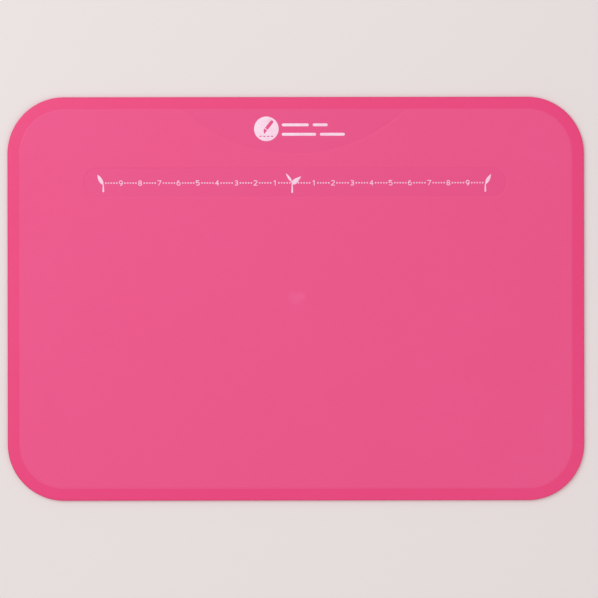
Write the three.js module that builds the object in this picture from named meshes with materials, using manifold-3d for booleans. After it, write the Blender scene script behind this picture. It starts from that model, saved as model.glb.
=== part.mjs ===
// A thin cutting board, moulded in one piece, with a centre-zero centimetre scale printed in white.
// Units are millimetres. The origin is at the centre of the underside, +X runs along the long side,
// +Y points to the edge that the print is near, and +Z points up out of the work face.
import * as THREE from "three";
import { mergeVertices } from "three/addons/utils/BufferGeometryUtils.js";
import Module from "manifold-3d";

const wasm = await Module();
wasm.setup();

// The moulding.
const LENGTH = 300;
const WIDTH = 210;
const CORNER_RADIUS = 29.5;
const FIELD_HEIGHT = 2.5;
const PANEL_HEIGHT = 2.35;
const EDGE_HEIGHT = 2.05;
const RIM_WIDTH = 6.3;
const STEP_RUN = 0.15;
const TOP_ROUND = 0.9;
const BOTTOM_ROUND = 0.5;
const ROUND_STEPS = 3;
const CORNER_STEPS = 14;

// Two smooth panels are sunk into the textured field. One is bounded by a wide arc and opens onto the rim.
const ARC_PANEL_RADIUS = 82.2;
const ARC_PANEL_CENTRE_Y = 157.7;
const ARC_PANEL_STEPS = 28;
const SCALE_PANEL_LENGTH = 221;
const SCALE_PANEL_WIDTH = 16;
const SCALE_PANEL_CENTRE = [-0.2, 60.4];
const SCALE_PANEL_STEPS = 12;

// The well that the moulding's gate leaves in the underside.
const GATE_RADIUS = 5;
const GATE_DEPTH = 0.35;
const GATE_CENTRE = [0.8, 1.2];
const GATE_STEPS = 32;

// The print. Each half of the scale stands slightly further out from zero than its centimetres do.
const INK_THICKNESS = 0.05;
const ZERO_X = -0.74;
const SCALE_Y = 60.25;
const UNIT = 10;
const HALF_OFFSET = 0.13;
const LAST_NUMERAL = 9;
const NUMERAL_WIDTH = 2.05;
const NUMERAL_HEIGHT = 2.8;
const STROKE = 0.4;
const ARC_STEP_DEGREES = 15;

// Dots fill each centimetre of the scale, joined by a hairline of ink.
const DOTS_PER_UNIT = 5;
const DOT_PITCH = 1.42;
const DOT_LENGTH = 0.68;
const DOT_HEIGHT = 0.8;
const HAIRLINE = 0.1;

// Leaf marks: the top of the stem is their own origin. A leaf leans away from upright by degrees, its
// sides are drawn out at the bulge, a share of its length, and it grows from a drop below the top.
const STEM_TOP_WIDTH = 0.5;
const STEM_FOOT_WIDTH = 0.9;
const LEAF_BULGE = 0.4;
const LEAF_STEPS = 12;
const MARKS = [
  { name: "mark_left_10", at: [-100, 59.2], stem: 3.7, leaves: [{ length: 6.3, width: 2, lean: 29 }] },
  { name: "mark_right_10", at: [98.6, 59.4], stem: 3.9, leaves: [{ length: 6.15, width: 1.8, lean: -29 }] },
  {
    name: "mark_zero",
    at: [-1.8, 60.5],
    stem: 5.5,
    leaves: [
      { length: 5.8, width: 1.2, lean: 34.5 },
      { length: 6.05, width: 2.5, lean: -49.5, bulge: 0.12, drop: 0.8 },
    ],
  },
];

// The round badge, with a craft knife over a dashed cutting line left open in its ink.
const BADGE_CENTRE = [-15.2, 88.35];
const BADGE_RADIUS = 6.4;
const BADGE_STEPS = 48;
const END_STEPS = 8;
const KNIFE_TURN = 38;
const KNIFE_WIDTH = 1.7;
const HANDLE_LENGTH = 5.4;
const BLADE_LENGTH = 2.4;
const BLADE_GAP = 0.45;
const DASH = [1.2, 0.5];
const DASH_COUNT = 4;
const DASH_PITCH = 2;
const DASH_Y = -3.9;

// Plain bars in two lines beside the badge.
const BAR_HEIGHT = 1.5;
const BARS = [
  { name: "bar_upper_left", from: -7.2, to: 6.9, y: 90.4 },
  { name: "bar_upper_right", from: 8.9, to: 16.7, y: 90.4 },
  { name: "bar_lower_left", from: -7.2, to: 10.7, y: 85.5 },
  { name: "bar_lower_right", from: 12.6, to: 25.6, y: 85.5 },
];

// Cutting bodies stand this far clear of the faces that they cut through, and points closer together
// than the weld are one point.
const CLEARANCE = 1;
const WELD = 1e-4;

const plastic = new THREE.MeshStandardMaterial({ color: 0xea5b8f, roughness: 0.55, metalness: 0 });
const ink = new THREE.MeshStandardMaterial({ color: 0xfdeaf3, roughness: 0.45, metalness: 0 });

// A closed geometry as a solid that can be joined and cut.
function solidOf(geometry) {
  const bare = geometry.clone();
  bare.deleteAttribute("normal");
  bare.deleteAttribute("uv");
  const merged = mergeVertices(bare, WELD);
  return new wasm.Manifold(
    new wasm.Mesh({
      numProp: 3,
      vertProperties: merged.attributes.position.array,
      triVerts: new Uint32Array(merged.index.array),
    }),
  );
}

// A solid's surface as a geometry that a mesh can show.
function geometryOf(solid) {
  const mesh = solid.getMesh();
  const geometry = new THREE.BufferGeometry();
  geometry.setAttribute("position", new THREE.BufferAttribute(mesh.vertProperties, mesh.numProp));
  geometry.setIndex(new THREE.BufferAttribute(mesh.triVerts, 1));
  geometry.computeVertexNormals();
  return geometry;
}

function slab(shape, bottom, height, steps) {
  const geometry = new THREE.ExtrudeGeometry(shape, {
    depth: height,
    bevelEnabled: false,
    curveSegments: steps,
  });
  return geometry.translate(0, 0, bottom);
}

// One layer of ink in the union of several outlines.
function joined(shapes, steps) {
  const solids = shapes.map((shape) => solidOf(slab(shape, 0, INK_THICKNESS, steps)));
  return geometryOf(solids.reduce((whole, piece) => whole.add(piece)));
}

function named(name, geometry, material) {
  const mesh = new THREE.Mesh(geometry, material);
  mesh.name = name;
  return mesh;
}

function stadium(length, width) {
  const radius = width / 2;
  const reach = length / 2 - radius;
  const shape = new THREE.Shape();
  shape.absarc(reach, 0, radius, -Math.PI / 2, Math.PI / 2);
  shape.absarc(-reach, 0, radius, Math.PI / 2, (3 * Math.PI) / 2);
  return shape;
}

function disc(radius) {
  return new THREE.Shape().absarc(0, 0, radius, 0, 2 * Math.PI);
}

// One level of the moulding: its outline drawn in by inset, with corners about the same centres.
function boardLevel(inset, z) {
  const radius = CORNER_RADIUS - inset;
  const points = [];
  for (let corner = 0; corner < 4; corner++) {
    const sx = corner === 0 || corner === 3 ? 1 : -1;
    const sy = corner < 2 ? 1 : -1;
    for (let i = 0; i <= CORNER_STEPS; i++) {
      const angle = (Math.PI / 2) * (corner + i / CORNER_STEPS);
      points.push(
        sx * (LENGTH / 2 - CORNER_RADIUS) + radius * Math.cos(angle),
        sy * (WIDTH / 2 - CORNER_RADIUS) + radius * Math.sin(angle),
        z,
      );
    }
  }
  return points;
}

// The levels from the underside, round the edge, up the rim and over the step onto the field.
function boardLevels() {
  const levels = [];
  for (let i = 0; i <= ROUND_STEPS; i++) {
    const turn = (Math.PI / 2) * (i / ROUND_STEPS);
    levels.push([BOTTOM_ROUND * (1 - Math.sin(turn)), BOTTOM_ROUND * (1 - Math.cos(turn))]);
  }
  for (let i = 0; i <= ROUND_STEPS; i++) {
    const turn = (Math.PI / 2) * (i / ROUND_STEPS);
    levels.push([TOP_ROUND * (1 - Math.cos(turn)), EDGE_HEIGHT - TOP_ROUND * (1 - Math.sin(turn))]);
  }
  levels.push([RIM_WIDTH, PANEL_HEIGHT]);
  levels.push([RIM_WIDTH + STEP_RUN, FIELD_HEIGHT]);
  return levels.map(([inset, z]) => boardLevel(inset, z));
}

function boardBlank() {
  const levels = boardLevels();
  const count = levels[0].length / 3;
  const positions = levels.flat();
  const triangles = [];
  for (let k = 0; k + 1 < levels.length; k++) {
    for (let i = 0; i < count; i++) {
      const a = k * count + i;
      const b = k * count + ((i + 1) % count);
      triangles.push(a, b, b + count, a, b + count, a + count);
    }
  }
  const underside = levels.length * count;
  positions.push(0, 0, 0, 0, 0, FIELD_HEIGHT);
  for (let i = 0; i < count; i++) {
    const next = (i + 1) % count;
    const top = underside - count;
    triangles.push(underside, next, i, underside + 1, top + i, top + next);
  }
  const geometry = new THREE.BufferGeometry();
  geometry.setAttribute("position", new THREE.Float32BufferAttribute(positions, 3));
  geometry.setIndex(triangles);
  return geometry;
}

function board() {
  const above = FIELD_HEIGHT - PANEL_HEIGHT + CLEARANCE;
  const reach = Math.acos((ARC_PANEL_CENTRE_Y - WIDTH / 2) / ARC_PANEL_RADIUS);
  const segment = new THREE.Shape();
  segment.absarc(0, ARC_PANEL_CENTRE_Y, ARC_PANEL_RADIUS, -Math.PI / 2 - reach, -Math.PI / 2 + reach);
  const arcPanel = slab(segment, PANEL_HEIGHT, above, ARC_PANEL_STEPS);
  const lane = stadium(SCALE_PANEL_LENGTH, SCALE_PANEL_WIDTH);
  const scalePanel = slab(lane, PANEL_HEIGHT, above, SCALE_PANEL_STEPS);
  scalePanel.translate(...SCALE_PANEL_CENTRE, 0);
  const gate = slab(disc(GATE_RADIUS), -CLEARANCE, CLEARANCE + GATE_DEPTH, GATE_STEPS);
  gate.translate(...GATE_CENTRE, 0);
  let solid = solidOf(boardBlank());
  for (const cut of [arcPanel, scalePanel, gate]) solid = solid.subtract(solidOf(cut));
  return named("board", geometryOf(solid), plastic);
}

// Points along an elliptical arc about (x, y), from one angle to another, in degrees.
function arc(x, y, rx, ry, from, to) {
  const steps = Math.ceil(Math.abs(to - from) / ARC_STEP_DEGREES);
  return Array.from({ length: steps + 1 }, (_, i) => {
    const angle = THREE.MathUtils.degToRad(from + ((to - from) * i) / steps);
    return new THREE.Vector2(x + rx * Math.cos(angle), y + ry * Math.sin(angle));
  });
}

function line(...pairs) {
  return pairs.map(([x, y]) => new THREE.Vector2(x, y));
}

// The points of one side of a stroke, each moved out square to the path there.
function strokeSide(points, closed, offset) {
  return points.map((point, i) => {
    const last = points.length - 1;
    const before = points[i > 0 ? i - 1 : closed ? last : 0];
    const after = points[i < last ? i + 1 : closed ? 0 : last];
    const into = point.clone().sub(before).normalize();
    const out = after.clone().sub(point).normalize();
    const along = into.add(out).normalize();
    return new THREE.Vector2(point.x - along.y * offset, point.y + along.x * offset);
  });
}

function strokeShape(points) {
  const closed = points[0].distanceTo(points.at(-1)) < WELD;
  const path = closed ? points.slice(0, -1) : points;
  const outer = strokeSide(path, closed, -STROKE / 2);
  const inner = strokeSide(path, closed, STROKE / 2);
  if (!closed) return new THREE.Shape([...outer, ...inner.reverse()]);
  const ring = new THREE.Shape(outer);
  ring.holes.push(new THREE.Path(inner));
  return ring;
}

// The strokes of each numeral, about its own centre.
function numeralStrokes(digit) {
  const w = NUMERAL_WIDTH / 2;
  const h = NUMERAL_HEIGHT / 2;
  const inset = STROKE / 2;
  const a = w - inset;
  const b = h - inset;
  const ring = (b * 2) / 3;
  const six = [arc(0, ring - b, a, ring, 0, 360), arc(0, ring - b, a, 2 * b - ring, 180, 62)];
  const strokes = {
    1: [line([w / 4, -h], [w / 4, h]), line([w / 6, h - 0.8 * inset], [-w / 2, b / 2])],
    2: [[...arc(0, b / 2, a, b / 2, 165, -35), ...line([-a, -b])], line([-w, -b], [w, -b])],
    3: [
      arc(0, b / 2, a * 0.9, b / 2, 155, -90),
      arc(0, -b / 2, a, b / 2, 90, -155),
      line([-a / 2, 0], [a / 4, 0]),
    ],
    4: [
      line([a / 2, -h], [a / 2, h]),
      line([a / 2, b], [-a, -b / 3]),
      line([-0.95 * w, -b / 3], [w, -b / 3]),
    ],
    5: [
      line([-w, b], [a, b]),
      line([-a, h], [-a, -inset / 2]),
      arc(0, -b / 3, a, ring, 150, -150),
    ],
    6: six,
    7: [line([-w, b], [w, b]), line([a + 0.08 * inset, b - 0.6 * inset], [-a / 2, 0.4 * inset - h])],
    8: [arc(0, b / 2, a * 0.85, b / 2, 0, 360), arc(0, -b / 2, a, b / 2, 0, 360)],
    9: six.map((points) => points.map((p) => p.clone().negate())),
  };
  return strokes[digit];
}

function numeral(digit, side) {
  const shapes = numeralStrokes(digit).map(strokeShape);
  const mesh = named(`numeral_${side < 0 ? "left" : "right"}_${digit}`, joined(shapes, 1), ink);
  mesh.position.x = side * (digit * UNIT + HALF_OFFSET);
  return mesh;
}

// One centimetre's row of dots, counted from the scale's left end.
function dotRow(index) {
  const outline = [];
  for (let i = 0; i < DOTS_PER_UNIT; i++) {
    const x = (i - (DOTS_PER_UNIT - 1) / 2) * DOT_PITCH;
    const corners = [
      [x - DOT_LENGTH / 2, HAIRLINE / 2],
      [x - DOT_LENGTH / 2, DOT_HEIGHT / 2],
      [x + DOT_LENGTH / 2, DOT_HEIGHT / 2],
      [x + DOT_LENGTH / 2, HAIRLINE / 2],
    ];
    outline.push(...corners);
  }
  const lower = outline.map(([x, y]) => [x, -y]).reverse();
  const shape = new THREE.Shape(line(...outline.slice(1, -1), ...lower.slice(1, -1)));
  const unit = index - LAST_NUMERAL - 1;
  const side = unit < 0 ? "left" : "right";
  const from = unit < 0 ? -unit - 1 : unit;
  const mesh = named(`dots_${side}_${from}_${from + 1}`, slab(shape, 0, INK_THICKNESS, 1), ink);
  mesh.position.x = (unit + 0.5) * UNIT + (unit < 0 ? -1 : 1) * HALF_OFFSET;
  return mesh;
}

function leafShape({ length, width, lean, bulge = LEAF_BULGE, drop = 0 }) {
  const shape = new THREE.Shape();
  shape.quadraticCurveTo(width, length * bulge, 0, length);
  shape.quadraticCurveTo(-width, length * bulge, 0, 0);
  const foot = new THREE.Vector2(0, -drop);
  const angle = THREE.MathUtils.degToRad(lean);
  const points = shape.getPoints(LEAF_STEPS).slice(0, -1);
  return new THREE.Shape(points.map((point) => point.add(foot).rotateAround(foot, angle)));
}

function stemShape(length) {
  const top = STEM_TOP_WIDTH / 2;
  const foot = STEM_FOOT_WIDTH / 2;
  const shape = new THREE.Shape(line([top, top], [-top, top]));
  shape.lineTo(-foot, foot - length);
  shape.absarc(0, foot - length, foot, Math.PI, 2 * Math.PI);
  return shape;
}

function leafMark({ name, at, stem, leaves }) {
  const mesh = named(name, joined([stemShape(stem), ...leaves.map(leafShape)], LEAF_STEPS), ink);
  mesh.position.set(...at, 0);
  return mesh;
}

// The knife's handle and blade, pointing down before it is turned.
function knifeShapes() {
  const half = KNIFE_WIDTH / 2;
  const handle = new THREE.Shape();
  handle.absarc(0, HANDLE_LENGTH - half, half, 0, Math.PI);
  handle.lineTo(-half, 0);
  handle.lineTo(half, 0);
  const blade = line(
    [half, -BLADE_GAP],
    [-half, -BLADE_GAP],
    [-half, -BLADE_GAP - BLADE_LENGTH / 3],
    [half, -BLADE_GAP - BLADE_LENGTH],
  );
  return [handle, new THREE.Shape(blade)];
}

function opening(shape) {
  return slab(shape, -CLEARANCE, INK_THICKNESS + 2 * CLEARANCE, END_STEPS);
}

function badge() {
  const turn = -THREE.MathUtils.degToRad(KNIFE_TURN);
  const knife = knifeShapes().map((shape) => opening(shape).rotateZ(turn));
  const [w, h] = DASH.map((side) => side / 2);
  const dash = new THREE.Shape(line([-w, -h], [w, -h], [w, h], [-w, h]));
  const dashes = Array.from({ length: DASH_COUNT }, (_, i) =>
    opening(dash).translate((i - (DASH_COUNT - 1) / 2) * DASH_PITCH, DASH_Y, 0),
  );
  let solid = solidOf(slab(disc(BADGE_RADIUS), 0, INK_THICKNESS, BADGE_STEPS));
  for (const cut of [...knife, ...dashes]) solid = solid.subtract(solidOf(cut));
  const mesh = named("badge", geometryOf(solid), ink);
  mesh.position.set(...BADGE_CENTRE, 0);
  return mesh;
}

function bar({ name, from, to, y }) {
  const mesh = named(name, slab(stadium(to - from, BAR_HEIGHT), 0, INK_THICKNESS, END_STEPS), ink);
  mesh.position.set((from + to) / 2, y, 0);
  return mesh;
}

function scale() {
  const group = new THREE.Group();
  group.position.set(ZERO_X, SCALE_Y, 0);
  for (let digit = 1; digit <= LAST_NUMERAL; digit++) group.add(numeral(digit, -1), numeral(digit, 1));
  for (let index = 0; index < 2 * (LAST_NUMERAL + 1); index++) group.add(dotRow(index));
  return group;
}

const print = new THREE.Group();
print.position.z = PANEL_HEIGHT;
print.add(badge(), scale(), ...BARS.map(bar), ...MARKS.map(leafMark));

const group = new THREE.Group();
group.add(board(), print);

export default group;
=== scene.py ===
import math

import bmesh
import bpy
from mathutils import Matrix, Vector
from mathutils.geometry import delaunay_2d_cdt


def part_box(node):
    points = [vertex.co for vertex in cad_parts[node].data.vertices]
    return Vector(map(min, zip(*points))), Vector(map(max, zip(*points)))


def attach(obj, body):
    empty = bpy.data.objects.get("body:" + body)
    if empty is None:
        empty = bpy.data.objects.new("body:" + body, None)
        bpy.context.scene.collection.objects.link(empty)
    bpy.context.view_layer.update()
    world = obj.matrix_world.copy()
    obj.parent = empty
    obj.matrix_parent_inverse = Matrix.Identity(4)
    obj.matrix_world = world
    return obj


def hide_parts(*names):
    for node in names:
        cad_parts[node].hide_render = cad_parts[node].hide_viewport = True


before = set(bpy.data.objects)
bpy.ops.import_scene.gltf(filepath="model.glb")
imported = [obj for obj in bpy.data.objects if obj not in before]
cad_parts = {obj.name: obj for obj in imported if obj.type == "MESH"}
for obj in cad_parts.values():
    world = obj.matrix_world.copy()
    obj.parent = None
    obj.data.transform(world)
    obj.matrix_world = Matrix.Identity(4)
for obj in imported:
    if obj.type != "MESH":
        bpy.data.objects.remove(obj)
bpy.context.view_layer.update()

MM = 0.001

# Places closer than TOUCHING millimetres are one place, and a face whose normal rises by less than
# UPWARD isn't a top face. A corner of an outline that is drawn in moves by the distance over
# MITRE_LIMIT at most. LARGE_FACE_WEIGHT keeps large flat faces flat where the surface is smoothed.
TOUCHING = 1e-6
UPWARD = 0.5
MITRE_LIMIT = 0.5
LARGE_FACE_WEIGHT = 100

# The moulding, in millimetres. Its length, width and levels come from the frame. The parting line is a
# list of (inset, height).
BOARD_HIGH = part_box("board")[1] / MM
HALF_LENGTH = BOARD_HIGH.x
HALF_WIDTH = BOARD_HIGH.y
FIELD_HEIGHT = BOARD_HIGH.z
INK_LOW, INK_HIGH = (corner.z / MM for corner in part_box("badge"))
PANEL_HEIGHT = INK_LOW
EDGE_HEIGHT = 2.05
CORNER_RADIUS = 29.5
RIM_WIDTH = 6.3
TOP_ROUND = 0.9
BOTTOM_ROUND = 0.5
PARTING_LINE = [(0.03, 0.5), (0.03, 0.62), (0.0, 0.66), (0.0, 0.72), (0.03, 0.76), (0.03, 1.15)]
STEP_RUN = 0.7
STEP_LEVELS = 6
STEP_FOOT_DIP = 0.015
ROUND_LEVELS = 6
CORNER_STEPS = 24
SIDE_PITCH = 6.0

# The smooth panels sunk into the textured field.
ARC_CENTRE = Vector((0.0, 157.7))
ARC_RADIUS = 82.2
ARC_STEPS = 48
LANE_CENTRE = Vector((-0.2, 60.4))
LANE_LENGTH = 221.0
LANE_WIDTH = 16.0
LANE_END_STEPS = 24

# The gate: a well with a broken-off stub in the underside, both as lists of (radius, height), and a
# faint sink mark in the face above it, as rings of (radius, points).
GATE = Vector((0.8, 1.2))
GATE_STEPS = 48
WELL_PROFILE = [(5.1, 0.0), (5.03, 0.02), (5.0, 0.07), (4.98, 0.28), (4.93, 0.33), (4.8, 0.35)]
STUB_PROFILE = [(1.1, 0.35), (0.92, 0.32), (0.85, 0.26), (0.8, 0.1), (0.62, 0.05), (0.3, 0.09)]
SINK_DEPTH = 0.03
SINK_RADIUS = 3.0
SINK_RINGS = [(1.0, 6), (2.2, 12), (3.6, 16), (5.4, 20), (8.0, 20)]

# The ink film: it stands on the panels, and its edges, a list of (inset, height), and its corners have
# run slightly round. Points within the weld are one point, and an outline with less area than a
# sliver is dropped.
INK_ROOT = INK_LOW - 0.01
INK_EDGE = [(0.0, INK_HIGH - 0.022), (0.008, INK_HIGH - 0.006), (0.024, INK_HIGH)]
INK_WELD = 0.001
INK_SLIVER = 0.05
INK_PITCH = 0.1
INK_RUNS = 3
DOTS_PER_ROW = 5
DOT_LENGTH = 0.68

# The plastic's finishes: (deeper colour, lighter colour, grain size, grain relief, roughness).
# It is one pink plastic throughout. The field's paler colours and the panels' and rim's deeper, more
# saturated colours are painted sheen: the haze of reflected light the matte field catches and the smoother
# panels and rim don't.
PLASTIC_FINISHES_AND_SHEEN = {
    "field_plastic": ((0.826, 0.0645, 0.2235), (0.836, 0.0745, 0.2435), 0.42, 0.11, 0.55),
    "panel_plastic": ((0.803, 0.0578, 0.2165), (0.813, 0.0678, 0.2365), 0.26, 0.02, 0.45),
    "rim_plastic": ((0.82, 0.036, 0.184), (0.825, 0.042, 0.194), 0.22, 0.012, 0.5),
    "underside_plastic": ((0.825, 0.063, 0.223), (0.835, 0.073, 0.243), 0.36, 0.06, 0.5),
}
CLOUD_SIZE, CLOUD_SHARE = 55.0, (0.08, 0.22)
SPECK_SHARE, SPECK_DETAIL = (-0.1, 0.3), 2.0
GRAIN_DETAIL, GRAIN_HARSHNESS = 3.0, 0.6
WAVE_LENGTH, WAVE_RELIEF, WAVE_DETAIL = 38.0, 0.015, 1.0
GLOSS_SIZE, GLOSS_CHANGE = 9.0, 0.015

# The blush over the gate: a colour, and its patches as (share, inner radius, outer radius).
BLUSHED = (0.836, 0.0985, 0.2785)
BLUSH_CORE = (0.35, 1.0, 4.5)
BLUSH_HALO = (0.22, 2.5, 9.5)
BLUSH_WOBBLE_SIZE, BLUSH_WOBBLE = 3.5, 1.2

# The ink's colours where its coat is full and where it is thin. Fine print takes a thinner coat.
BROAD_INK = ((0.95, 0.74, 0.85), (0.93, 0.58, 0.74))
FINE_INK = ((0.945, 0.655, 0.795), (0.92, 0.52, 0.695))
FINE_PRINT = ("dots_", "numeral_", "mark_left_", "mark_right_")
COAT_SIZE, COAT_DETAIL, COAT_CLOUD_SIZE = 0.9, 4.0, 6.0
THINNED_SHARE = (0.0, 0.5)
INK_GLOSS_SIZE, INK_ROUGHNESS = 0.6, (0.36, 0.46)
INK_GRAIN, INK_RELIEF = 0.18, 0.003


class Shell:
    """A closed mesh in millimetres: rings of points, the walls between them and the caps across them."""

    def __init__(self):
        self.bm = bmesh.new()

    def ring(self, points, z):
        return [self.bm.verts.new((x, y, z)) for x, y in points]

    def face(self, verts, finish):
        self.bm.faces.new(verts).material_index = finish

    def wall(self, first, second, finish=0):
        for i, vert in enumerate(first):
            j = (i + 1) % len(first)
            self.face((vert, first[j], second[j], second[i]), finish)

    def walls(self, rings, finish=0):
        for first, second in zip(rings, rings[1:]):
            self.wall(first, second, finish)

    def cap(self, rings, inner=(), finish=0):
        """Fills the area inside an odd number of the rings with triangles that also use the inner points."""
        z = rings[0][0].co.z
        edges, verts = [], []
        for ring in rings:
            start = len(verts)
            edges += [(start + i, start + (i + 1) % len(ring)) for i in range(len(ring))]
            verts += ring
        outlines = [[vert.co.xy for vert in ring] for ring in rings]
        verts += self.ring(inner, z)
        _, _, triangles, *_ = delaunay_2d_cdt([vert.co.xy for vert in verts], edges, [], 1, TOUCHING)
        for triangle in triangles:
            corners = [verts[i] for i in triangle]
            if is_inside(sum((vert.co.xy for vert in corners), Vector((0, 0))) / 3, outlines):
                self.face(corners, finish)

    def as_piece(self, name, materials):
        """The mesh as an object in metres, riding on the board's body."""
        bmesh.ops.recalc_face_normals(self.bm, faces=self.bm.faces)
        for face in self.bm.faces:
            face.smooth = True
        self.bm.transform(Matrix.Scale(MM, 4))
        mesh = bpy.data.meshes.new(name)
        self.bm.to_mesh(mesh)
        self.bm.free()
        for material in materials:
            mesh.materials.append(material)
        piece = bpy.data.objects.new(name, mesh)
        bpy.context.scene.collection.objects.link(piece)
        normals = piece.modifiers.new("flat_faces_stay_flat", "WEIGHTED_NORMAL")
        normals.weight = LARGE_FACE_WEIGHT
        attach(piece, "root")
        return piece


def is_inside(point, outlines):
    """Whether a point lies inside an odd number of the outlines."""
    crossings = 0
    for outline in outlines:
        for a, b in zip(outline, outline[1:] + outline[:1]):
            if (a.y > point.y) != (b.y > point.y):
                crossings += point.x < a.x + (point.y - a.y) * (b.x - a.x) / (b.y - a.y)
    return crossings % 2 == 1


def polar(centre, radius, angle):
    return centre + radius * Vector((math.cos(angle), math.sin(angle)))


def circle(centre, radius, steps):
    return [polar(centre, radius, math.tau * i / steps) for i in range(steps)]


def nearest(ring, point):
    return min(range(len(ring)), key=lambda i: (ring[i].co.xy - point).length)


def moved_in(points, distance):
    """A counterclockwise outline drawn in by a distance, or a clockwise opening let out by it."""
    moved = []
    for i, point in enumerate(points):
        into = (point - points[i - 1]).normalized()
        out = (points[(i + 1) % len(points)] - point).normalized()
        left = Vector((-into.y - out.y, into.x + out.x)).normalized()
        moved.append(point + left * distance / max(MITRE_LIMIT, left.dot(Vector((-into.y, into.x)))))
    return moved


# --- The moulding ---

def chord():
    """Half the width at which the arc panel opens onto the rim."""
    drop = ARC_CENTRE.y - (HALF_WIDTH - RIM_WIDTH)
    return math.sqrt(ARC_RADIUS**2 - drop**2)


def stations(reach, *extra):
    """Places along a straight side, from one end to the other, without the ends."""
    steps = round(2 * reach / SIDE_PITCH)
    even = [2 * reach * i / steps - reach for i in range(1, steps)]
    clear = [s for s in even if all(abs(s - e) > SIDE_PITCH / 3 for e in extra)]
    return sorted([*clear, *extra])


def board_outline(inset):
    """The board's outline drawn in by inset, counterclockwise from the right side's upper end."""
    reach_x = HALF_LENGTH - CORNER_RADIUS
    reach_y = HALF_WIDTH - CORNER_RADIUS
    along_x = stations(reach_x, -chord(), chord())
    along_y = stations(reach_y)
    top = [Vector((-s, HALF_WIDTH - inset)) for s in along_x]
    left = [Vector((inset - HALF_LENGTH, -s)) for s in along_y]
    sides = [top, left, [-p for p in top], [-p for p in left]]
    centres = [(reach_x, reach_y), (-reach_x, reach_y), (-reach_x, -reach_y), (reach_x, -reach_y)]
    points = []
    for quarter, (centre, side) in enumerate(zip(centres, sides)):
        for i in range(CORNER_STEPS + 1):
            angle = math.pi / 2 * (quarter + i / CORNER_STEPS)
            points.append(polar(Vector(centre), CORNER_RADIUS - inset, angle))
        points += side
    return points


def lane_outline():
    """The stadium that bounds the panel under the scale, counterclockwise."""
    radius = LANE_WIDTH / 2
    reach = LANE_LENGTH / 2 - radius
    points = []
    for side, start in ((1, -math.pi / 2), (-1, math.pi / 2)):
        centre = LANE_CENTRE + Vector((side * reach, 0))
        turns = range(LANE_END_STEPS + 1)
        points += [polar(centre, radius, start + math.pi * i / LANE_END_STEPS) for i in turns]
        points += [LANE_CENTRE + Vector((side * -s, side * radius)) for s in stations(reach)]
    return points


def edge_levels():
    """(inset, height) from the underside, round the edge and the parting line, and up the rim."""
    turns = [math.pi / 2 * i / ROUND_LEVELS for i in range(ROUND_LEVELS + 1)]
    flank = PARTING_LINE[0][0]
    lower = [(flank + BOTTOM_ROUND * (1 - math.sin(t)), BOTTOM_ROUND * (1 - math.cos(t))) for t in turns]
    upper = [
        (flank + (TOP_ROUND - flank) * (1 - math.cos(t)), EDGE_HEIGHT - TOP_ROUND * (1 - math.sin(t)))
        for t in turns
    ]
    return lower[:-1] + PARTING_LINE[:-1] + upper + [(RIM_WIDTH - STEP_RUN, PANEL_HEIGHT - STEP_FOOT_DIP)]


def step_levels():
    """(distance, height) up a step from a panel to the field, rounded at its foot and its crest."""
    shares = [i / STEP_LEVELS for i in range(STEP_LEVELS + 1)]
    rise = FIELD_HEIGHT - PANEL_HEIGHT
    return [(STEP_RUN * s, PANEL_HEIGHT + rise * s * s * (3 - 2 * s)) for s in shares]


def room(point):
    """How far a point lies inside the field, clear of its borders; negative outside it."""
    corner = Vector((HALF_LENGTH - CORNER_RADIUS, HALF_WIDTH - CORNER_RADIUS))
    out = Vector((abs(point.x), abs(point.y))) - corner
    past = Vector((max(out.x, 0), max(out.y, 0))).length + min(max(out.x, out.y), 0)
    to_rim = CORNER_RADIUS - RIM_WIDTH - past
    to_arc = (point - ARC_CENTRE).length - ARC_RADIUS
    return min(to_rim, to_arc, -lane_room(point))


def lane_room(point):
    """How far a point lies inside the panel under the scale; negative outside it."""
    radius = LANE_WIDTH / 2
    away = point - LANE_CENTRE
    past = max(abs(away.x) - (LANE_LENGTH / 2 - radius), 0)
    return radius - Vector((past, away.y)).length


def arc_room(point):
    return min(ARC_RADIUS - (point - ARC_CENTRE).length, HALF_WIDTH - RIM_WIDTH - point.y)


def under_room(point):
    """How far a point of the underside lies from its edge and from the gate well."""
    across = min(HALF_LENGTH - abs(point.x), HALF_WIDTH - abs(point.y))
    corner = Vector((HALF_LENGTH - CORNER_RADIUS, HALF_WIDTH - CORNER_RADIUS))
    out = Vector((abs(point.x), abs(point.y))) - corner
    in_corner = CORNER_RADIUS - out.length if min(out) > 0 else across
    return min(across, in_corner, (point - GATE).length - WELL_PROFILE[0][0])


def scattered(space, clear=SIDE_PITCH / 2):
    """An even triangular spread of points that keep clear of the borders."""
    row_pitch = SIDE_PITCH * math.sqrt(3) / 2
    rows = int(HALF_WIDTH / row_pitch)
    columns = int(HALF_LENGTH / SIDE_PITCH)
    points = [
        Vector(((column + row % 2 / 2) * SIDE_PITCH, row * row_pitch))
        for row in range(-rows, rows + 1)
        for column in range(-columns, columns + 1)
    ]
    return [point for point in points if space(point) > clear]


def field_points():
    """The field's inner points, with rings of them where the sink mark is."""
    reach = SINK_RINGS[-1][0] + SIDE_PITCH / 2
    points = [point for point in scattered(room) if (point - GATE).length > reach]
    for radius, steps in SINK_RINGS:
        points += circle(GATE, radius, steps)
    return [*points, GATE]


def sink_mark(shell):
    """Lowers the field a little over the gate."""
    for vert in shell.bm.verts:
        if vert.co.z > FIELD_HEIGHT - TOUCHING:
            away = (vert.co.xy - GATE).length / SINK_RADIUS
            vert.co.z -= SINK_DEPTH * math.exp(-away * away)


def gate_well(shell, mouth, finish):
    """The well in the underside, with the stub that the gate left standing in it."""
    rings = [mouth] + [shell.ring(circle(GATE, r, GATE_STEPS), z) for r, z in WELL_PROFILE[1:]]
    rings += [shell.ring(circle(GATE, r, GATE_STEPS), z) for r, z in STUB_PROFILE]
    shell.walls(rings, finish)
    shell.cap(rings[-1:], finish=finish)


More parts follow.
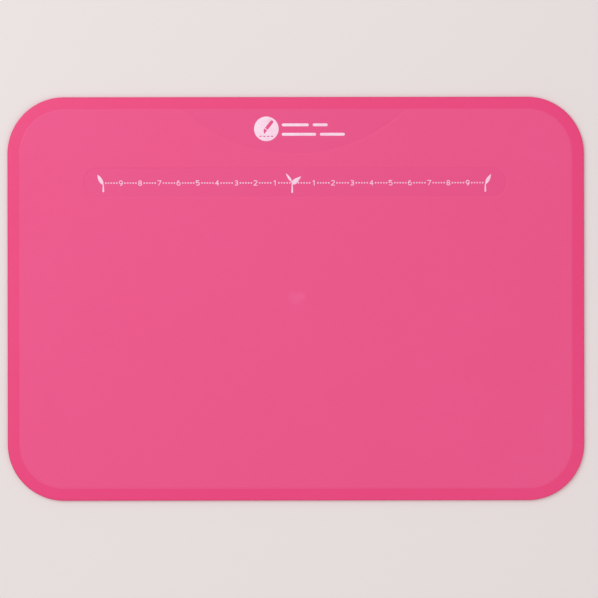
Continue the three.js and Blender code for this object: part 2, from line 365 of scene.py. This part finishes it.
def moulded_board(materials):
    """The whole moulding as one closed surface, with a finish each for field, panels, rim and underside."""
    on_field, on_panel, on_rim, on_underside = range(len(materials))
    shell = Shell()
    levels = [shell.ring(board_outline(inset), z) for inset, z in edge_levels()]
    inner = shell.ring(board_outline(RIM_WIDTH), PANEL_HEIGHT)
    shell.walls([*levels, inner], on_rim)

    right = nearest(inner, Vector((chord(), HALF_WIDTH - RIM_WIDTH)))
    left = nearest(inner, Vector((-chord(), HALF_WIDTH - RIM_WIDTH)))
    reach = math.asin(chord() / ARC_RADIUS)
    turns = [reach - 2 * reach * i / ARC_STEPS - math.pi / 2 for i in range(1, ARC_STEPS)]
    arc = shell.ring([polar(ARC_CENTRE, ARC_RADIUS, turn) for turn in turns], PANEL_HEIGHT)
    shell.cap([[*inner[right:left + 1], *reversed(arc)]], scattered(arc_room), on_panel)

    foot = [*inner[left:], *inner[:right + 1], *arc]
    outline = [vert.co.xy.copy() for vert in foot]
    climb = [foot] + [shell.ring(moved_in(outline, d), z) for d, z in step_levels()[1:]]
    shell.walls(climb, on_field)

    lane = lane_outline()
    descent = [shell.ring(moved_in(lane, STEP_RUN - d), z) for d, z in step_levels()]
    shell.walls(descent, on_field)
    shell.cap(descent[:1], scattered(lane_room), on_panel)
    shell.cap([climb[-1], descent[-1]], field_points(), on_field)

    mouth = shell.ring(circle(GATE, WELL_PROFILE[0][0], GATE_STEPS), 0.0)
    shell.cap([levels[0], mouth], scattered(under_room), on_underside)
    gate_well(shell, mouth, on_underside)
    sink_mark(shell)
    piece = shell.as_piece("moulded_board", materials)
    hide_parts("board")


# --- The ink ---

def area(outline):
    return sum(a.cross(b) for a, b in zip(outline, outline[1:] + outline[:1])) / 2


def outlines_of(node):
    """The outlines of a flat node's top face in millimetres: counterclockwise, and openings clockwise."""
    bm = bmesh.new()
    bm.from_mesh(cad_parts[node].data)
    bmesh.ops.remove_doubles(bm, verts=bm.verts, dist=INK_WELD * MM)
    after = {}
    for face in bm.faces:
        if face.normal.z < UPWARD:
            continue
        for loop in face.loops:
            if loop.link_loop_radial_next.face.normal.z < UPWARD:
                after[loop.vert.index] = loop.link_loop_next.vert.index
    points = [vert.co.xy / MM for vert in bm.verts]
    bm.free()
    outlines = []
    while after:
        start, index = after.popitem()
        outline = [points[start]]
        while index != start:
            outline.append(points[index])
            index = after.pop(index)
        outlines.append(outline)
    return [outline for outline in outlines if abs(area(outline)) > INK_SLIVER]


def evenly_spaced(outline):
    """An outline redrawn with its points a pitch apart."""
    sides = list(zip(outline, outline[1:] + outline[:1]))
    total = sum((b - a).length for a, b in sides)
    count = round(total / INK_PITCH)
    points, along = [], 0.0
    for a, b in sides:
        while along < (b - a).length:
            points.append(a.lerp(b, along / (b - a).length))
            along += total / count
        along -= (b - a).length
    return points[:count]


def softened(outline):
    """An outline whose corners have run slightly round, with its points a pitch apart."""
    points = evenly_spaced(outline)
    for _ in range(INK_RUNS):
        after = points[1:] + points[:1]
        points = [(points[i - 1] + 2 * point + after[i]) / 4 for i, point in enumerate(points)]
    return evenly_spaced(points)


def ink_film(shell, outlines):
    """Adds one patch of ink to the shell: a thin film with rounded edges."""
    root = [shell.ring(outline, INK_ROOT) for outline in outlines]
    tops = []
    for outline, first in zip(outlines, root):
        rings = [first] + [shell.ring(moved_in(outline, inset), z) for inset, z in INK_EDGE]
        shell.walls(rings)
        tops.append(rings[-1])
    shell.cap(root)
    shell.cap(tops)


def dot_outlines(node):
    """Five separate rounded dots over the length of one centimetre's row."""
    low, high = (corner.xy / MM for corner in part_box(node))
    pitch = (high.x - low.x - DOT_LENGTH) / (DOTS_PER_ROW - 1)
    dots = []
    for i in range(DOTS_PER_ROW):
        x = low.x + i * pitch
        corners = [(x, low.y), (x + DOT_LENGTH, low.y), (x + DOT_LENGTH, high.y), (x, high.y)]
        dots.append(softened([Vector(corner) for corner in corners]))
    return dots


def ink_piece(node, ink):
    shell = Shell()
    if node.startswith("dots_"):
        for dot in dot_outlines(node):
            ink_film(shell, [dot])
    else:
        ink_film(shell, [softened(outline) for outline in outlines_of(node)])
    piece = shell.as_piece(f"ink_{node}", [ink])
    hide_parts(node)


# --- Materials ---

class Finish:
    """A material's principled shader and the nodes that drive it."""

    def __init__(self, name):
        self.material = bpy.data.materials.new(name)
        self.material.use_nodes = True
        self.tree = self.material.node_tree
        self.shader = self.tree.nodes["Principled BSDF"]
        self.place = self.add("ShaderNodeTexCoord").outputs["Object"]

    def add(self, kind, **sockets):
        """A node with its input sockets set or linked; underscores stand for the spaces in their names."""
        node = self.tree.nodes.new(kind)
        for name, value in sockets.items():
            self.set(node.inputs[name.replace("_", " ")], value)
        return node

    def set(self, socket, value):
        if isinstance(value, bpy.types.NodeSocket):
            self.tree.links.new(value, socket)
        else:
            socket.default_value = value

    def noise(self, size, detail=3.0, roughness=0.5):
        """Noise from 0 to 1 whose patches are about size metres across."""
        return self.add(
            "ShaderNodeTexNoise", Vector=self.place, Scale=1 / size, Detail=detail, Roughness=roughness
        ).outputs["Fac"]

    def spread(self, value, low, high, start=0.35, end=0.65):
        """A value from start to end, mapped smoothly to low to high."""
        node = self.add(
            "ShaderNodeMapRange", Value=value, From_Min=start, From_Max=end, To_Min=low, To_Max=high
        )
        node.interpolation_type = "SMOOTHSTEP"
        return node.outputs["Result"]

    def sum(self, a, b):
        node = self.add("ShaderNodeMath")
        node.operation = "ADD"
        self.set(node.inputs[0], a)
        self.set(node.inputs[1], b)
        return node.outputs["Value"]

    def colours(self, factor, *stops):
        """A colour between stops that are spread evenly over a factor from 0 to 1."""
        node = self.add("ShaderNodeValToRGB", Fac=factor)
        ramp = node.color_ramp
        ramp.elements[0].color = (*stops[0], 1)
        ramp.elements[1].color = (*stops[-1], 1)
        for i, stop in enumerate(stops[1:-1], 1):
            ramp.elements.new(i / (len(stops) - 1)).color = (*stop, 1)
        return node.outputs["Color"]

    def bump(self, height, depth, under=None):
        """Relief of that depth in metres over the relief given as under."""
        node = self.add("ShaderNodeBump", Height=height, Distance=depth)
        if under is not None:
            self.set(node.inputs["Normal"], under)
        return node.outputs["Normal"]

    def shade(self, **sockets):
        for name, value in sockets.items():
            self.set(self.shader.inputs[name.replace("_", " ")], value)
        return self.material


def gate_blush(finish):
    """How much paler the plastic is over the gate: a small core in a fainter halo, with uneven borders."""
    away = finish.add("ShaderNodeVectorMath")
    away.operation = "DISTANCE"
    finish.set(away.inputs[0], finish.place)
    finish.set(away.inputs[1], (GATE.x * MM, GATE.y * MM, FIELD_HEIGHT * MM))
    wobble = finish.spread(finish.noise(BLUSH_WOBBLE_SIZE * MM), -BLUSH_WOBBLE * MM, BLUSH_WOBBLE * MM)
    distance = finish.sum(away.outputs["Value"], wobble)
    patches = [
        finish.spread(distance, share, 0.0, inner * MM, outer * MM)
        for share, inner, outer in (BLUSH_CORE, BLUSH_HALO)
    ]
    return finish.sum(*patches)


def plastic(name):
    """Moulded plastic: cloudy colour between two shades, a fine grain with its relief, slight waviness."""
    deep, light, grain, relief, roughness = PLASTIC_FINISHES_AND_SHEEN[name]
    finish = Finish(name)
    clouds = finish.spread(finish.noise(CLOUD_SIZE * MM), *CLOUD_SHARE)
    specks = finish.spread(finish.noise(grain * MM, SPECK_DETAIL), *SPECK_SHARE)
    shade = finish.sum(clouds, specks)
    if name == "field_plastic":
        shade = finish.sum(shade, gate_blush(finish))
    pores = finish.noise(grain * MM, GRAIN_DETAIL, GRAIN_HARSHNESS)
    waves = finish.bump(finish.noise(WAVE_LENGTH * MM, WAVE_DETAIL), WAVE_RELIEF * MM)
    gloss = finish.noise(GLOSS_SIZE * MM)
    return finish.shade(
        # The cloudy shade and the blush are the plastic's own tone; the gap between the field's colours and
        # the panels' and rim's is painted sheen.
        Base_Color=finish.colours(shade, deep, light, BLUSHED),
        Roughness=finish.spread(gloss, roughness - GLOSS_CHANGE, roughness + GLOSS_CHANGE),
        Normal=finish.bump(pores, relief * MM, waves),
    )


def printed_ink(name, full, thinned):
    """White ink with the pink showing faintly through where the coat is thin."""
    finish = Finish(name)
    thin = finish.spread(finish.noise(COAT_SIZE * MM, COAT_DETAIL), *THINNED_SHARE)
    clouds = finish.spread(finish.noise(COAT_CLOUD_SIZE * MM), *THINNED_SHARE)
    return finish.shade(
        Base_Color=finish.colours(finish.sum(thin, clouds), full, thinned),
        Roughness=finish.spread(finish.noise(INK_GLOSS_SIZE * MM), *INK_ROUGHNESS),
        Normal=finish.bump(finish.noise(INK_GRAIN * MM), INK_RELIEF * MM),
    )


# --- The studio ---

# Metres and watts. The walls are an even pale light, and the floor is a round sheet of pale paper.
WALL_COLOUR = (1.0, 0.996, 0.995, 1)
WALL_STRENGTH = 0.556
FLOOR_RADIUS = 2.1
FLOOR_STEPS = 96
FLOOR_COLOURS = ((0.80, 0.743, 0.729), (0.81, 0.753, 0.739))
FLOOR_CLOUD_SIZE = 0.4
FLOOR_ROUGHNESS, FLOOR_SPECULAR = 0.9, 0.2

# (name, place, size, watts, colour)
SOFTBOXES = [
    ("key_softbox", (-0.66, 0.55, 1.2), 1.2, 10.7, (0.946, 0.965, 1.0)),
    ("fill_softbox", (1.1, -0.9, 1.6), 1.8, 8.4, (1.0, 0.942, 0.901)),
]

# The camera looks straight down, turned by the slight tilt of the board in view.
CAMERA_HEIGHT = 1.5
CAMERA_X = 1.654 * MM
CAMERA_Y = -0.125 * MM
CAMERA_ROLL = math.radians(-0.075)
FRAME_WIDTH = 310.85 * MM
SENSOR = 36.0


def floor():
    bm = bmesh.new()
    bmesh.ops.create_circle(bm, cap_ends=True, radius=FLOOR_RADIUS, segments=FLOOR_STEPS)
    mesh = bpy.data.meshes.new("floor")
    bm.to_mesh(mesh)
    bm.free()
    finish = Finish("floor_paper")
    clouds = finish.spread(finish.noise(FLOOR_CLOUD_SIZE), 0.0, 1.0)
    mesh.materials.append(finish.shade(
        Base_Color=finish.colours(clouds, *FLOOR_COLOURS),
        Roughness=FLOOR_ROUGHNESS,
        Specular_IOR_Level=FLOOR_SPECULAR,
    ))
    piece = bpy.data.objects.new("floor", mesh)
    bpy.context.scene.collection.objects.link(piece)


def softbox(name, place, size, watts, colour):
    data = bpy.data.lights.new(name, "AREA")
    data.shape = "SQUARE"
    data.size = size
    data.energy = watts
    data.color = colour
    light = bpy.data.objects.new(name, data)
    light.location = place
    light.visible_camera = False
    light.rotation_euler = (-Vector(place)).to_track_quat("-Z", "Y").to_euler()
    bpy.context.scene.collection.objects.link(light)


def studio():
    scene = bpy.context.scene
    scene.view_settings.view_transform = "Standard"
    world = bpy.data.worlds.new("studio_walls")
    world.use_nodes = True
    background = world.node_tree.nodes["Background"]
    background.inputs["Color"].default_value = WALL_COLOUR
    background.inputs["Strength"].default_value = WALL_STRENGTH
    scene.world = world
    for place_and_power in SOFTBOXES:
        softbox(*place_and_power)


def camera():
    data = bpy.data.cameras.new("camera")
    data.sensor_width = SENSOR
    data.lens = SENSOR * CAMERA_HEIGHT / FRAME_WIDTH
    data.dof.use_dof = False
    view = bpy.data.objects.new("camera", data)
    view.location = (CAMERA_X, CAMERA_Y, FIELD_HEIGHT * MM + CAMERA_HEIGHT)
    view.rotation_euler = (0, 0, CAMERA_ROLL)
    bpy.context.scene.collection.objects.link(view)
    bpy.context.scene.camera = view


camera()
studio()
floor()
moulded_board([plastic(name) for name in PLASTIC_FINISHES_AND_SHEEN])
broad_ink = printed_ink("broad_ink", *BROAD_INK)
fine_ink = printed_ink("fine_ink", *FINE_INK)
for node in sorted(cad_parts):
    if node != "board":
        ink_piece(node, fine_ink if node.startswith(FINE_PRINT) else broad_ink)
